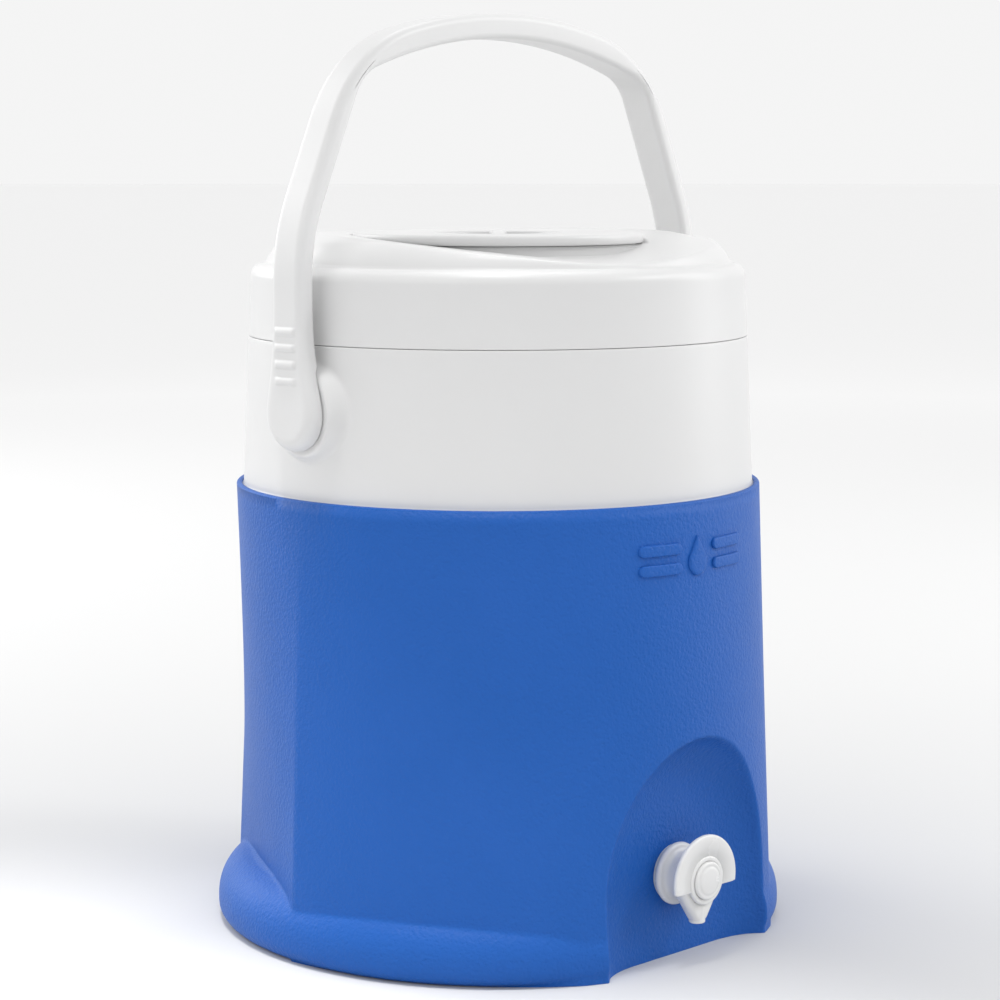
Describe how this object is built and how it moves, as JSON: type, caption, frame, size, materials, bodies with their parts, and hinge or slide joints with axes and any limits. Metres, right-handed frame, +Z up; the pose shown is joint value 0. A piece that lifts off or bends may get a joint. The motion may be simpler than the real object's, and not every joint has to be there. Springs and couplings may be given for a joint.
{
  "type": "beverage dispenser",
  "caption": "Insulated drink jug with a flared blue body, white shoulder, screw lid with a filler cap, swinging bail handle and a push-button tap in an arched alcove.",
  "frame": {"origin": "centre of the foot's resting plane, under the middle of the jug", "axes": "+Z up; the tap and its alcove face -Y; +X is the right-hand handle pivot seen from the tap's side"},
  "size_m": [0.31, 0.31, 0.49],
  "materials": {
    "shell_blue": "satin",
    "white_plastic": "satin",
    "tank_plastic": "satin",
    "foam": "matte",
    "silicone": "matte",
    "pin_steel": "satin",
    "spring_steel": "satin",
    "bush_nylon": "satin"
  },
  "bodies": {
    "root": {"outer_shell": "shell_blue", "base_plate": "shell_blue", "foam_body": "foam", "inner_liner": "tank_plastic", "neck_gasket": "silicone", "shoulder_collar": "white_plastic", "pivot_bush_left": "bush_nylon", "pivot_bush_right": "bush_nylon", "tap_body": "white_plastic", "tap_washer_outer": "silicone", "tap_washer_inner": "silicone", "tap_nut": "tank_plastic"},
    "handle": {"handle": "white_plastic", "pivot_pin_left": "pin_steel", "pivot_pin_right": "pin_steel"},
    "lid_seal": {"lid_gasket": "silicone"},
    "lid": {"lid_shell": "white_plastic", "lid_foam": "foam", "lid_liner": "tank_plastic"},
    "cap_seal": {"cap_seal": "silicone"},
    "cap": {"filler_cap": "white_plastic", "cap_liner": "tank_plastic", "cap_foam": "foam"},
    "button": {"tap_button": "white_plastic", "tap_stem": "pin_steel", "tap_valve_seal": "silicone", "tap_stem_clip": "pin_steel", "tap_spring": "spring_steel"}
  },
  "joints": [
    {"name": "handle_swing", "type": "hinge", "parent": "root", "child": "handle", "pos_m": [0, 0, 0.2845], "axis": [1, 0, 0], "range_deg": [-120, 120]},
    {"name": "lid_lift", "type": "slide", "parent": "root", "child": "lid_seal", "axis": [0, 0, 1], "range_m": [0, 0.02813]},
    {"name": "lid_turn", "type": "hinge", "parent": "lid_seal", "child": "lid", "pos_m": [0, 0, 0.319], "axis": [0, 0, 1], "range_deg": [0, 675]},
    {"name": "cap_lift", "type": "slide", "parent": "lid", "child": "cap_seal", "axis": [0, 0, 1], "range_m": [0, 0.012]},
    {"name": "cap_turn", "type": "hinge", "parent": "cap_seal", "child": "cap", "pos_m": [0, 0, 0.368], "axis": [0, 0, 1], "range_deg": [0, 360]},
    {"name": "tap_press", "type": "slide", "parent": "root", "child": "button", "axis": [0, 1, 0], "range_m": [0, 0.004], "stiffness_N_per_m": 500, "springref_m": -0.006, "deforming": ["tap_spring"]}
  ],
  "couplings": [
    {"joint": "lid_lift", "follows": "lid_turn", "m_per_rad": 0.002387},
    {"joint": "cap_lift", "follows": "cap_turn", "m_per_rad": 0.0019098}
  ]
}
